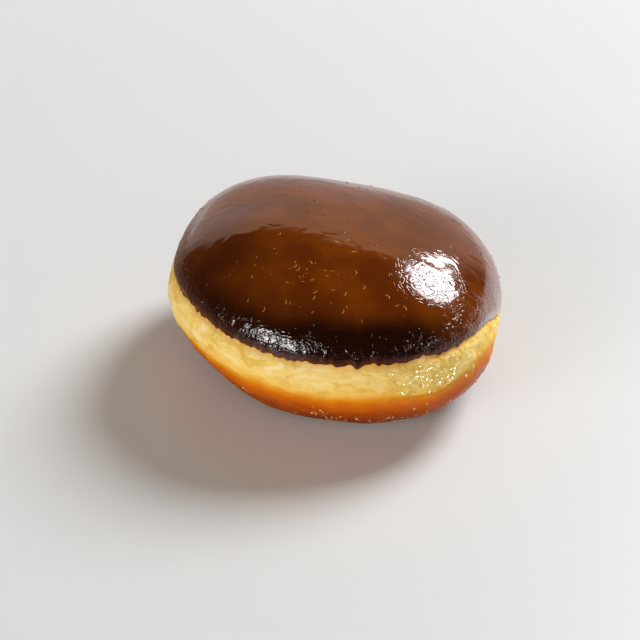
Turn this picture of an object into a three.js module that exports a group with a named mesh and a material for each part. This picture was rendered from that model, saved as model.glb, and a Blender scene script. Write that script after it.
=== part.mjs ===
// A round filled doughnut whose top is dipped in chocolate icing.
// Millimetres, +Z up. The origin is the centre of the object's footprint, on the surface it rests on.
// +X is the doughnut's right and -Y is its front.
import * as THREE from 'three';

// ---- Driving dimensions ----
const RADIUS = 46.7; // half width of the iced doughnut at its widest line
const WAIST_HEIGHT = 20; // height of the widest line above the base
const DOME_RISE = 23.9; // from the widest line up to the crown
const DOME_FULLNESS = 2.42; // superellipse power of the upper half: 2 is an ellipse, more is fuller
const BELLY_FULLNESS = 2.3; // the same for the lower half
const BASE_SHARE = 0.62; // radius of the flattened base, as a share of RADIUS
const ICING_THICKNESS = 1.5;
const GAP = 0.3; // clearance kept between the icing and the dough under it
const BARE_DOUGH_INSET = 0.6; // how far the bare dough lies inside the icing's outer surface
const STEP_DEPTH = 7; // height over which the dough falls back to its place under the icing
const LEAN_RIGHT = 4.5; // degrees, the risen dough sits lower on its right
const LEAN_FRONT = 0.9; // degrees, and slightly lower at its front

// A wave once or more around the doughnut: how many crests, how high, and the side one crest faces.
const wave = (crests, height, facing) => ({ crests, height, facing: THREE.MathUtils.degToRad(facing) });

// The outline is not quite round. Heights are shares of RADIUS.
const OUTLINE_LOBES = [
  wave(2, 0.048, -52),
  wave(3, 0.028, 25),
  wave(4, 0.025, 35),
  wave(5, 0.005, -33),
  wave(6, 0.01, 7),
];

// The height of the icing's lower edge above the base, and how it wanders around the doughnut.
const ICING_EDGE_HEIGHT = 25.6;
const ICING_EDGE_WAVES = [
  wave(1, 1.5, -105),
  wave(2, 1.7, -62),
  wave(3, 1.4, -53),
  wave(4, 0.8, -29),
];

// ---- Fineness of the solids ----
const SECTORS = 64; // steps around the doughnut
const DOUGH_RINGS = 30; // steps from the middle of the base to the crown
const ICING_RINGS = 15; // steps from the icing's edge to the crown, on each face of the shell

const CROWN = Math.PI / 2;
const BELLY_DEPTH = WAIST_HEIGHT / (1 - BASE_SHARE ** BELLY_FULLNESS) ** (1 / BELLY_FULLNESS);

/** The sum of some waves in the direction `angle`. */
function sumWaves(waves, angle) {
  return waves.reduce((sum, w) => sum + w.height * Math.cos(w.crests * (angle - w.facing)), 0);
}

/**
 * A point of the doughnut's form, before it leans.
 * `angle` goes around; `rise` goes from -CROWN at the middle of the underside through 0 at the waist to CROWN.
 * `inset` is how far the point lies inside the icing's outer surface.
 */
function formPoint(angle, rise, inset) {
  const upper = rise > 0;
  const power = 2 / (upper ? DOME_FULLNESS : BELLY_FULLNESS);
  const reach = (RADIUS * (1 + sumWaves(OUTLINE_LOBES, angle)) - inset) * Math.max(Math.cos(rise), 0) ** power;
  const height = (upper ? DOME_RISE - inset : BELLY_DEPTH) * Math.abs(Math.sin(rise)) ** power;
  return new THREE.Vector3(
    reach * Math.cos(angle),
    reach * Math.sin(angle),
    WAIST_HEIGHT + (upper ? height : -height),
  );
}

/** The `rise` at which the form's surface reaches a height above the base. */
function riseAtHeight(height) {
  const above = height - WAIST_HEIGHT;
  const [span, fullness] = above > 0 ? [DOME_RISE, DOME_FULLNESS] : [BELLY_DEPTH, BELLY_FULLNESS];
  return Math.sign(above) * Math.asin((Math.abs(above) / span) ** (fullness / 2));
}

/** The height of the icing's lower edge in the direction `angle`. */
function icingEdgeHeight(angle) {
  return ICING_EDGE_HEIGHT + sumWaves(ICING_EDGE_WAVES, angle);
}

/** How far the dough's skin lies inside the icing's outer surface: a smooth step just below the icing's edge. */
function doughInset(angle, rise) {
  const edge = icingEdgeHeight(angle);
  const height = formPoint(angle, rise, 0).z;
  const covered = THREE.MathUtils.smoothstep(height, edge - STEP_DEPTH, edge - GAP);
  return THREE.MathUtils.lerp(BARE_DOUGH_INSET, ICING_THICKNESS + GAP, covered);
}

const LEAN = new THREE.Matrix4()
  .makeTranslation(0, 0, WAIST_HEIGHT)
  .multiply(new THREE.Matrix4().makeRotationX(THREE.MathUtils.degToRad(LEAN_FRONT)))
  .multiply(new THREE.Matrix4().makeRotationY(THREE.MathUtils.degToRad(LEAN_RIGHT)))
  .multiply(new THREE.Matrix4().makeTranslation(0, 0, -WAIST_HEIGHT));

/** Leans a point with the risen dough, and flattens it onto the surface if it would sink in. */
function settle(point) {
  point.applyMatrix4(LEAN);
  point.z = Math.max(point.z, 0);
  return point;
}

/** A closed skin through rings of points that start at one pole and end at another. */
function skin(startPole, rings, endPole) {
  const points = [startPole, ...rings.flat(), endPole];
  const sectors = rings[0].length;
  const last = points.length - 1;
  const at = (ring, sector) => 1 + ring * sectors + (sector % sectors);
  const faces = [];
  for (let s = 0; s < sectors; s += 1) {
    faces.push(0, at(0, s + 1), at(0, s));
    for (let r = 0; r + 1 < rings.length; r += 1) {
      faces.push(at(r, s), at(r, s + 1), at(r + 1, s + 1));
      faces.push(at(r, s), at(r + 1, s + 1), at(r + 1, s));
    }
    faces.push(last, at(rings.length - 1, s), at(rings.length - 1, s + 1));
  }
  const geometry = new THREE.BufferGeometry().setFromPoints(points);
  geometry.setIndex(faces);
  geometry.computeVertexNormals();
  return geometry;
}

/** One ring of settled points: `pointAt` gives the point in each direction. */
function ring(pointAt) {
  return Array.from({ length: SECTORS }, (_, s) => settle(pointAt((2 * Math.PI * s) / SECTORS)));
}

/** The baked dough: one solid piece, flat where it rests. */
function doughGeometry() {
  const rings = [];
  for (let i = 1; i < DOUGH_RINGS; i += 1) {
    const rise = -CROWN + (2 * CROWN * i) / DOUGH_RINGS;
    rings.push(ring((angle) => formPoint(angle, rise, doughInset(angle, rise))));
  }
  const bottom = settle(formPoint(0, -CROWN, 0));
  const crown = settle(formPoint(0, CROWN, ICING_THICKNESS + GAP));
  return skin(bottom, rings, crown);
}

/** The icing: a shell over the dough's top, with a rounded lower edge. */
function icingGeometry() {
  const face = (inset) =>
    Array.from({ length: ICING_RINGS }, (_, i) =>
      ring((angle) => {
        const edge = riseAtHeight(icingEdgeHeight(angle));
        return formPoint(angle, THREE.MathUtils.lerp(CROWN, edge, (i + 1) / ICING_RINGS), inset);
      }),
    );
  const lip = ring((angle) => {
    const point = formPoint(angle, riseAtHeight(icingEdgeHeight(angle)), ICING_THICKNESS / 2);
    point.z -= ICING_THICKNESS / 3;
    return point;
  });
  const innerCrown = settle(formPoint(0, CROWN, ICING_THICKNESS));
  const outerCrown = settle(formPoint(0, CROWN, 0));
  return skin(innerCrown, [...face(ICING_THICKNESS), lip, ...face(0).reverse()], outerCrown);
}

/** A named piece with its own finish. */
function piece(name, geometry, finish) {
  const mesh = new THREE.Mesh(geometry, new THREE.MeshStandardMaterial(finish));
  mesh.name = name;
  return mesh;
}

const doughnut = new THREE.Group();
doughnut.add(
  piece('dough', doughGeometry(), { color: 0xdba04c, roughness: 0.8, metalness: 0 }),
  piece('chocolate_icing', icingGeometry(), { color: 0x4a2411, roughness: 0.2, metalness: 0 }),
);

// Centre the footprint on the origin.
const centre = new THREE.Box3().setFromObject(doughnut, true).getCenter(new THREE.Vector3());
for (const mesh of doughnut.children) {
  mesh.geometry.translate(-centre.x, -centre.y, 0);
}

export default doughnut;
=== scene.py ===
"""Visual model of a filled doughnut with chocolate icing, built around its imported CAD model.

Sizes are in metres. +Z is up, -Y is the doughnut's front and +X is its right.
"""

import itertools
import logging
import math
from dataclasses import dataclass
from enum import Enum

import bpy
import numpy as np
from mathutils import Matrix, Vector


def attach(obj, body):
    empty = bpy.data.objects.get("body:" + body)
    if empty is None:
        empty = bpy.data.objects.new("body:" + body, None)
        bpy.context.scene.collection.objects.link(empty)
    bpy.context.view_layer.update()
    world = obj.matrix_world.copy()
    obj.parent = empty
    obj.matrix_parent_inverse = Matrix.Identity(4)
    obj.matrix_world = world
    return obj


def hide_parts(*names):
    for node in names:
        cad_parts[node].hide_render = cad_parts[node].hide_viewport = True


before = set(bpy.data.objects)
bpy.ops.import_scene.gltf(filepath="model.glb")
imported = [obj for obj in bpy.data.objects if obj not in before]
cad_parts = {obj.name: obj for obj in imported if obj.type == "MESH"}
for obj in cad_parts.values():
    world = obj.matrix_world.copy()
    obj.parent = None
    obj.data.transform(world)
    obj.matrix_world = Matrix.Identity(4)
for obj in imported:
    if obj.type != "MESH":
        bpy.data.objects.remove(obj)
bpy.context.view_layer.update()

LOG = logging.getLogger("doughnut")
MM = 0.001
CROWN = math.pi / 2
BODY = "root"
BAKE_MAP = "OFBake"

Output = bpy.types.NodeSocket
Paint = tuple[float, float, float, float]
Span = tuple[float, float]


class Trait(Enum):
    """Facts that a skin stores at its points for its finish to read. Lengths are in millimetres."""

    CRUST = "below_crust_line"  # how far below the line where the pale band turns brown
    UNDER = "below_icing"  # how far below the icing's edge
    OIL = "oiliness"  # 0 dry to 1 wet with frying oil
    RIM = "above_rim"  # how far above the icing's ragged edge
    POOL = "pooled_and_shaded"  # darkens the icing, 0 to 1: partly where it lies thick, partly painted shade on the front and left
    CRINKLE = "crinkle"  # 0 smooth to 1 crinkled
    SKIN = "wrinkled_skin"  # how wrinkled the set skin is, 0 to 1
    BLISTER = "blister_room"  # how thickly blisters may grow, 0 to 1
    BUBBLE = "bubble_room"  # how thickly bubbles may sit, 0 to 1
    GLINT = "glint_room"  # how thickly bubble rims with a painted golden glint may lie, 0 to 1


class Grain(Enum):
    """What a scatter repeats."""

    DOME = "dome"
    RIM = "rim"


class Slot(Enum):
    """The record's material slots."""

    DOUGH = "fried_dough"
    ICING = "chocolate_icing"


# ---------------------------------------------------------------------------------------------
# The doughnut's form, shared by both skins
# ---------------------------------------------------------------------------------------------


def smooth(value: np.ndarray, low: float, high: float) -> np.ndarray:
    """Rises smoothly from 0 at `low` to 1 at `high`, or falls if `high` is the smaller."""
    share = np.clip((value - low) / (high - low), 0, 1)
    return share * share * (3 - 2 * share)


@dataclass(frozen=True)
class Wave:
    """A wave around the doughnut: how many crests, how high, and the side one crest faces in degrees."""

    crests: int
    height: float
    facing: float

    def at(self, angle: np.ndarray) -> np.ndarray:
        """The wave's height in each direction."""
        return self.height * np.cos(self.crests * (angle - math.radians(self.facing)))


def sum_waves(waves: tuple[Wave, ...], angle: np.ndarray) -> np.ndarray:
    """The sum of some waves in each direction."""
    return sum((wave.at(angle) for wave in waves), np.zeros_like(angle))


@dataclass(frozen=True)
class Patch:
    """A soft-edged area in one direction: its facing and half width in degrees, and its strength."""

    facing: float
    half_width: float
    strength: float

    def at(self, angle: np.ndarray) -> np.ndarray:
        """The patch's strength in each direction."""
        off = np.degrees(np.angle(np.exp(1j * (angle - math.radians(self.facing)))))
        return self.strength * np.exp(-((off / self.half_width) ** 2))


def sum_patches(patches: tuple[Patch, ...], angle: np.ndarray) -> np.ndarray:
    """The sum of some patches in each direction."""
    return sum((patch.at(angle) for patch in patches), np.zeros_like(angle))


@dataclass(frozen=True)
class Spot:
    """A soft round area seen from above: its middle, its radius and its strength."""

    x: float
    y: float
    radius: float
    strength: float = 1.0

    def at(self, points: np.ndarray) -> np.ndarray:
        """The spot's strength at each point."""
        away = np.hypot(points[..., 0] - self.x, points[..., 1] - self.y)
        return self.strength * np.exp(-((away / self.radius) ** 2))


def sum_spots(spots: tuple[Spot, ...], points: np.ndarray) -> np.ndarray:
    """The sum of some spots at each point."""
    return sum((spot.at(points) for spot in spots), np.zeros(points.shape[:-1]))


class SmoothNoise:
    """Seeded gradient noise, about -1 to 1, for arrays of points."""

    GAIN = 1.6

    def __init__(self, seed: int) -> None:
        """Deals the lattice's slopes.

        Args:
            seed: Fixes the pattern.
        """
        rng = np.random.default_rng(seed)
        self._order = rng.permutation(256)
        slopes = rng.normal(size=(256, 3))
        self._slopes = slopes / np.linalg.norm(slopes, axis=1, keepdims=True)

    def at(self, points: np.ndarray, size: float | tuple[float, float, float]) -> np.ndarray:
        """Reads the noise.

        Args:
            points: Places, one in each row of the last axis.
            size: The size of one cell of the pattern, the same each way or for X, Y and Z.

        Returns:
            One value for each point.
        """
        scaled = points / np.asarray(size)
        cell = np.floor(scaled).astype(int)
        local = scaled - cell
        fade = local**3 * (local * (local * 6 - 15) + 10)
        total = np.zeros(points.shape[:-1])
        for corner in itertools.product((0, 1), repeat=3):
            index = np.zeros(points.shape[:-1], dtype=int)
            for axis, step in enumerate(corner):
                index = self._order[(index + cell[..., axis] + step) % 256]
            slope = ((local - corner) * self._slopes[index]).sum(-1)
            total += np.where(corner, fade, 1 - fade).prod(-1) * slope
        return self.GAIN * total


@dataclass(frozen=True)
class Lumps:
    """Rises and dips in a surface: how high they are in millimetres, and how large their cells are."""

    height: float
    size: float | tuple[float, float, float]

    def at(self, noise: SmoothNoise, points: np.ndarray) -> np.ndarray:
        """The rise at each point."""
        return self.height * noise.at(points, self.size)


@dataclass(frozen=True)
class DoughnutForm:
    """The leaning, flattened round that both skins follow. It repeats the CAD model's driving sizes."""

    radius: float = 46.7 * MM
    waist_height: float = 20 * MM
    dome_rise: float = 23.9 * MM
    dome_fullness: float = 2.42
    belly_fullness: float = 2.3
    base_share: float = 0.62
    lean_right: float = 4.5
    lean_front: float = 0.9
    foot_shift: tuple[float, float, float] = (-0.462 * MM, 0.608 * MM, 0.0)
    lobes: tuple[Wave, ...] = (
        Wave(2, 0.048, -52),
        Wave(3, 0.028, 25),
        Wave(4, 0.025, 35),
        Wave(5, 0.005, -33),
        Wave(6, 0.010, 7),
    )

    @property
    def belly_depth(self) -> float:
        """Depth below the waist that the lower half would reach if it weren't flattened."""
        power = self.belly_fullness
        return self.waist_height / (1 - self.base_share**power) ** (1 / power)

    def point(self, angle: np.ndarray, rise: np.ndarray, inset: np.ndarray | float) -> np.ndarray:
        """Places points before the doughnut leans.

        Args:
            angle: Direction around the doughnut, in radians.
            rise: From -CROWN at the middle of the underside through 0 at the waist to CROWN.
            inset: How far inside the icing's outer surface the point lies.

        Returns:
            The points, one in each row of the last axis.
        """
        upper = rise > 0
        power = 2 / np.where(upper, self.dome_fullness, self.belly_fullness)
        outline = self.radius * (1 + sum_waves(self.lobes, angle)) - inset
        reach = outline * np.maximum(np.cos(rise), 0) ** power
        span = np.where(upper, self.dome_rise - inset, self.belly_depth)
        height = np.sign(rise) * span * np.abs(np.sin(rise)) ** power
        return np.stack([reach * np.cos(angle), reach * np.sin(angle), self.waist_height + height], axis=-1)

    def height(self, rise: np.ndarray) -> np.ndarray:
        """The height above the base of each `rise`, before the doughnut leans."""
        return self.point(np.zeros_like(rise), rise, 0.0)[..., 2]

    def rise_at(self, height: np.ndarray) -> np.ndarray:
        """The `rise` at which the surface reaches each height above the base.

        Args:
            height: The heights.

        Returns:
            One value for each height.
        """
        above = height - self.waist_height
        span = np.where(above > 0, self.dome_rise, self.belly_depth)
        fullness = np.where(above > 0, self.dome_fullness, self.belly_fullness)
        return np.sign(above) * np.arcsin((np.abs(above) / span) ** (fullness / 2))

    def arc(self, rise: np.ndarray) -> np.ndarray:
        """The length along the surface from the middle of the underside up to each `rise`.

        Args:
            rise: The places on the surface.

        Returns:
            One length for each place.
        """
        steps = np.linspace(-CROWN, CROWN, 2001)
        profile = self.point(np.zeros_like(steps), steps, 0.0)
        lengths = np.linalg.norm(np.diff(profile, axis=0), axis=1)
        return np.interp(rise, steps, np.concatenate([[0], np.cumsum(lengths)]))

    def arc_at(self, height: np.ndarray) -> np.ndarray:
        """The length along the surface from the middle of the underside up to each height."""
        return self.arc(self.rise_at(height))

    def rise_after(self, arc: np.ndarray) -> np.ndarray:
        """The `rise` that lies each length along the surface from the middle of the underside."""
        steps = np.linspace(-CROWN, CROWN, 2001)
        return np.interp(arc, self.arc(steps), steps)

    def settle(self, points: np.ndarray) -> np.ndarray:
        """Leans points with the risen dough, flattens the foot and centres the footprint.

        Args:
            points: The points before the doughnut leans.

        Returns:
            The points in the frame.
        """
        lean = Matrix.Rotation(math.radians(self.lean_front), 3, "X")
        lean = np.array(lean @ Matrix.Rotation(math.radians(self.lean_right), 3, "Y"))
        waist = np.array([0, 0, self.waist_height])
        leant = (points - waist) @ lean.T + waist
        leant[..., 2] = np.maximum(leant[..., 2], 0)
        return leant + self.foot_shift


@dataclass(frozen=True)
class IcingEdge:
    """Where the icing ends, how thick it is, and how the dough meets it."""

    mean_height: float = 25.6 * MM
    waves: tuple[Wave, ...] = (
        Wave(1, 1.5 * MM, -105),
        Wave(2, 1.7 * MM, -62),
        Wave(3, 1.4 * MM, -53),
        Wave(4, 0.8 * MM, -29),
    )
    runs: tuple[Patch, ...] = (
        Patch(-84, 1.6, -1.1 * MM),
        Patch(-5, 12.0, -2.6 * MM),
        Patch(-131, 2.2, -0.4 * MM),
        Patch(96, 3.0, -1.4 * MM),
        Patch(178, 14.0, -1.9 * MM),
    )
    ripple: float = 0.145 * MM
    ripple_crests: tuple[int, int] = (7, 170)
    ripple_fall: float = 0.4
    thickness: float = 1.5 * MM
    edge_thickness: float = 0.3 * MM
    taper: float = 8 * MM
    roll: float = 0.8 * MM
    roll_width: float = 3.2 * MM
    gap: float = 0.12 * MM
    tuck: float = 2.2 * MM
    bare_inset: float = 0.6 * MM
    bulge: float = 1.5 * MM
    bulge_height: float = 18 * MM
    bulge_spread: float = 6.5 * MM
    bulge_shared: float = 0.6
    seed: int = 11

    def line(self, angle: np.ndarray) -> np.ndarray:
        """The height of the smooth line that the icing's lower edge follows."""
        return self.mean_height + sum_waves(self.waves, angle) + sum_patches(self.runs, angle)

    def height(self, angle: np.ndarray) -> np.ndarray:
        """The height of the icing's ragged lower edge in each direction.

        Args:
            angle: The directions, in radians.

        Returns:
            One height for each direction.
        """
        rng = np.random.default_rng(self.seed)
        ragged = np.zeros_like(angle)
        for crests in range(*self.ripple_crests):
            size = self.ripple * rng.normal() * crests**-self.ripple_fall
            ragged += Wave(crests, size, rng.uniform(0, 360)).at(angle)
        return self.line(angle) + ragged

    def swell(self, height: np.ndarray) -> np.ndarray:
        """How far the bare dough swells out at each height."""
        return self.bulge * np.exp(-(((height - self.bulge_height) / self.bulge_spread) ** 2))

    def outer_inset(self, height: np.ndarray, up: np.ndarray) -> np.ndarray:
        """How far in the icing's outer face lies: along the swelling, and rolled in at the edge's line."""
        turned_in = self.roll * np.clip(1 - up / self.roll_width, 0, 1) ** 2
        return turned_in - self.bulge_shared * self.swell(height)

    def inner_inset(self, height: np.ndarray, up: np.ndarray) -> np.ndarray:
        """How far in the icing's inner face lies."""
        thick = smooth(up, 0, self.taper) * (self.thickness - self.edge_thickness) + self.edge_thickness
        return self.outer_inset(height, up) + thick

    def dough_inset(self, height: np.ndarray, up: np.ndarray, over: np.ndarray) -> np.ndarray:
        """How far in the dough lies: just under the icing, then swelling out below the edge.

        Args:
            height: The height above the base.
            up: How far above the edge's smooth line.
            over: How far above the ragged edge itself.

        Returns:
            The inset at each point.
        """
        covered = self.inner_inset(height, up) + self.gap
        bare = self.bare_inset - self.swell(height)
        return covered + smooth(over, 0, -self.tuck) * (bare - covered)


# ---------------------------------------------------------------------------------------------
# Skins
# ---------------------------------------------------------------------------------------------


@dataclass
class Skin:
    """A closed skin through rings of points, with a pole at each end.

    `rings` holds points as (ring, sector, 3), from the first pole to the last. `traits` holds a value for
    each ring point. The faces before ring `split` are laid out as the main disc of the bake map if
    `main_first` is set, and the rest as a small disc in its corner, or else the other way round.
    """

    name: str
    rings: np.ndarray
    traits: dict[Trait, np.ndarray]
    split: int
    main_first: bool

    def normals(self) -> np.ndarray:
        """The outward normal at each ring point.

        Returns:
            The normals, one in each row of the last axis.
        """
        around = np.roll(self.rings, -1, axis=1) - np.roll(self.rings, 1, axis=1)
        along = np.gradient(self.rings, axis=0)
        normal = np.cross(around, along)
        return normal / np.maximum(np.linalg.norm(normal, axis=-1, keepdims=True), 1e-12)

    def raise_by(self, relief: np.ndarray) -> None:
        """Moves each ring point along its normal."""
        self.rings = self.rings + self.normals() * relief[..., None]

    def _faces(self) -> list[tuple[int, ...]]:
        """Lists the skin's faces: a fan at each pole and four-sided faces between.

        Returns:
            Each face's vertices in order.
        """
        count, sectors = self.rings.shape[:2]
        last = count * sectors + 1
        grid = 1 + np.arange(count * sectors).reshape(count, sectors)
        turned = np.roll(grid, -1, axis=1)
        walls = np.stack([grid[:-1], turned[:-1], turned[1:], grid[1:]], axis=-1).reshape(-1, 4)
        first_fan = [(0, int(b), int(a)) for a, b in zip(grid[0], turned[0])]
        last_fan = [(last, int(a), int(b)) for a, b in zip(grid[-1], turned[-1])]
        return first_fan + [tuple(face) for face in walls.tolist()] + last_fan

    def _chart(self, from_end: bool, centre: tuple[float, float], size: float) -> np.ndarray:
        """A flat round map of the rings around one pole.

        Args:
            from_end: Whether the map's middle is the last pole.
            centre: The map's middle.
            size: The radius of the ring at the split.

        Returns:
            A place in the map for each vertex.
        """
        steps = np.linalg.norm(np.diff(self.rings, axis=0), axis=-1).mean(axis=1)
        reach = np.concatenate([[0], np.cumsum(steps)]) + steps[0]
        if from_end:
            reach = reach[-1] + steps[-1] - reach
        reach = size * reach / reach[self.split]
        angle = np.linspace(0, 2 * math.pi, self.rings.shape[1], endpoint=False)
        disc = reach[:, None, None] * np.stack([np.cos(angle), np.sin(angle)], axis=-1)
        middle = np.zeros((1, 2))
        return np.concatenate([middle, disc.reshape(-1, 2), middle]) + np.asarray(centre)

    def _lay_out(self, mesh: bpy.types.Mesh) -> None:
        """Adds the bake map: the visible part as a large disc, the rest as a small one.

        Args:
            mesh: The skin's mesh, with its faces in place.
        """
        wide, narrow = ((0.5, 0.5), 0.49), ((0.075, 0.075), 0.07)
        first = self._chart(False, *(wide if self.main_first else narrow))
        second = self._chart(True, *(narrow if self.main_first else wide))
        corners = np.zeros(len(mesh.loops), dtype=int)
        mesh.loops.foreach_get("vertex_index", corners)
        sizes = np.zeros(len(mesh.polygons), dtype=int)
        mesh.polygons.foreach_get("loop_total", sizes)
        before = np.arange(len(mesh.polygons)) < self.rings.shape[1] * (1 + self.split)
        before = np.repeat(before, sizes)
        places = np.where(before[:, None], first[corners], second[corners])
        mesh.uv_layers.new(name=BAKE_MAP).data.foreach_set("uv", places.ravel())

    def build(self) -> bpy.types.Object:
        """Makes the object, with its traits as attributes and its bake map.

        Returns:
            The new object, linked to the scene.
        """
        points = self.rings.reshape(-1, 3)
        ends = [self.rings[0].mean(axis=0), self.rings[-1].mean(axis=0)]
        mesh = bpy.data.meshes.new(self.name)
        mesh.from_pydata(np.vstack([ends[0], points, ends[1]]).tolist(), [], self._faces())
        mesh.shade_smooth()
        for trait, values in self.traits.items():
            layer = mesh.attributes.new(trait.value, "FLOAT", "POINT")
            column = np.concatenate([[values[0].mean()], values.ravel(), [values[-1].mean()]])
            layer.data.foreach_set("value", column.astype(np.float32))
        self._lay_out(mesh)
        return add_object(self.name, mesh)


def add_object(name: str, mesh: bpy.types.Mesh) -> bpy.types.Object:
    """Adds an object that shows a mesh to the scene.

    Args:
        name: The object's name.
        mesh: The mesh.

    Returns:
        The object.
    """
    made = bpy.data.objects.new(name, mesh)
    bpy.context.scene.collection.objects.link(made)
    return made


# ---------------------------------------------------------------------------------------------
# Finishes
# ---------------------------------------------------------------------------------------------


def paint(code: str) -> Paint:
    """Turns a colour such as "f0cd6e" into linear red, green, blue and alpha.

    Args:
        code: The colour as six hexadecimal digits.

    Returns:
        The four values.
    """
    parts = [int(code[i : i + 2], 16) / 255 for i in (0, 2, 4)]
    red, green, blue = [p / 12.92 if p <= 0.04045 else ((p + 0.055) / 1.055) ** 2.4 for p in parts]
    return red, green, blue, 1.0


class NodeSheet:
    """A node tree whose nodes are added one call at a time."""

    def __init__(self, tree: bpy.types.NodeTree, prefix: str = "") -> None:
        """Takes the tree.

        Args:
            tree: The tree.
            prefix: What the type of each of its nodes starts with.
        """
        self.tree = tree
        self._prefix = prefix

    def add(self, kind: str, inputs: dict | None = None, **settings: object) -> bpy.types.Node:
        """Adds a node.

        Args:
            kind: The node's type, without the prefix.
            inputs: A value or an output socket for each input, by name or place.
            settings: The node's own properties.

        Returns:
            The node.
        """
        node = self.tree.nodes.new(self._prefix + kind)
        for key, value in settings.items():
            setattr(node, key, value)
        for key, value in (inputs or {}).items():
            self.feed(node.inputs[key], value)
        return node

    def feed(self, socket: bpy.types.NodeSocket, value: object) -> None:
        """Links an output to a socket, or sets the socket's own value.

        Args:
            socket: The input.
            value: An output to link, or a plain value.
        """
        if isinstance(value, bpy.types.NodeSocket):
            self.tree.links.new(value, socket)
        else:
            socket.default_value = value


class ShaderSheet(NodeSheet):
    """The node tree of a material or a world, with a short call for each node that they use often."""

    def __init__(self, tree: bpy.types.NodeTree) -> None:
        """Takes the tree."""
        super().__init__(tree, "ShaderNode")

    def math(self, operation: str, first: object, second: object = 0.0, third: object = 0.0) -> Output:
        """The result of a Math node."""
        return self.add("Math", {0: first, 1: second, 2: third}, operation=operation).outputs[0]

    def remap(self, value: object, old: Span, new: Span = (0, 1)) -> Output:
        """A value moved from one range to another, held at its ends."""
        inputs = {"Value": value, "From Min": old[0], "From Max": old[1], "To Min": new[0], "To Max": new[1]}
        return self.add("MapRange", inputs, interpolation_type="SMOOTHSTEP").outputs["Result"]

    def blend(self, share: object, first: object, second: object) -> Output:
        """Two colours mixed by a share."""
        return self.add("Mix", {0: share, 6: first, 7: second}, data_type="RGBA").outputs[2]

    def ramp(self, value: object, stops: tuple[tuple[float, str], ...]) -> Output:
        """A colour read from stops of place and colour code.

        Args:
            value: Where to read, from 0 to 1.
            stops: The place and the code of each colour, in order.

        Returns:
            The colour.
        """
        node = self.add("ValToRGB", {"Fac": value})
        elements = node.color_ramp.elements
        while len(elements) < len(stops):
            elements.new(0.5)
        for element, (place, code) in zip(elements, stops):
            element.position = place
            element.color = paint(code)
        return node.outputs["Color"]

    def trait(self, trait: Trait) -> Output:
        """A fact stored at the skin's points."""
        return self.add("Attribute", attribute_name=trait.value).outputs["Fac"]

    def place(self, scale: tuple[float, float, float] = (1, 1, 1)) -> Output:
        """The place on the object in metres, stretched each way."""
        coordinates = self.add("TexCoord").outputs["Object"]
        return self.add("Mapping", {"Vector": coordinates, "Scale": scale}).outputs["Vector"]

    def noise(self, place: Output, size: float, detail: float, warp: float = 0) -> Output:
        """Cloudy noise whose cells are `size` metres across."""
        inputs = {"Vector": place, "Scale": 1 / size, "Detail": detail, "Distortion": warp}
        return self.add("TexNoise", inputs).outputs["Fac"]

    def wander(self, place: Output, reach: float, size: float = 9 * MM) -> Output:
        """A number that wanders slowly over the object, at most half of `reach` above or below zero."""
        return self.math("MULTIPLY_ADD", self.noise(place, size, 2), reach, -0.5 * reach)

    def cells(self, place: Output, size: float) -> Output:
        """The distance to the nearest of scattered centres `size` metres apart, as a share of `size`."""
        return self.add("TexVoronoi", {"Vector": place, "Scale": 1 / size}).outputs["Distance"]

    def bump(self, height: object, depth: float, base: Output | None = None) -> Output:
        """Turns a height into a normal.

        Args:
            height: The height.
            depth: How tall a height of 1 stands, in metres.
            base: The normal it starts from, or nothing for the surface's own.

        Returns:
            The normal.
        """
        inputs = {"Height": height, "Distance": depth, "Strength": 1.0}
        if base is not None:
            inputs["Normal"] = base
        return self.add("Bump", inputs).outputs["Normal"]


class FinishSheet(ShaderSheet):
    """A material that starts with only a Principled shader and an output."""

    def __init__(self, name: str) -> None:
        """Starts the material under its name.

        Args:
            name: The material's name.
        """
        self.material = bpy.data.materials.new(name)
        self.material.use_nodes = True
        super().__init__(self.material.node_tree)

    def set(self, **inputs: object) -> None:
        """Sets or links the shader's inputs.

        Args:
            inputs: A value or an output for each input, by its name in lower case with underscores.
        """
        shader = self.tree.nodes["Principled BSDF"]
        names = {socket.name.lower().replace(" ", "_"): socket for socket in shader.inputs}
        for name, value in inputs.items():
            self.feed(names[name], value)


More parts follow.
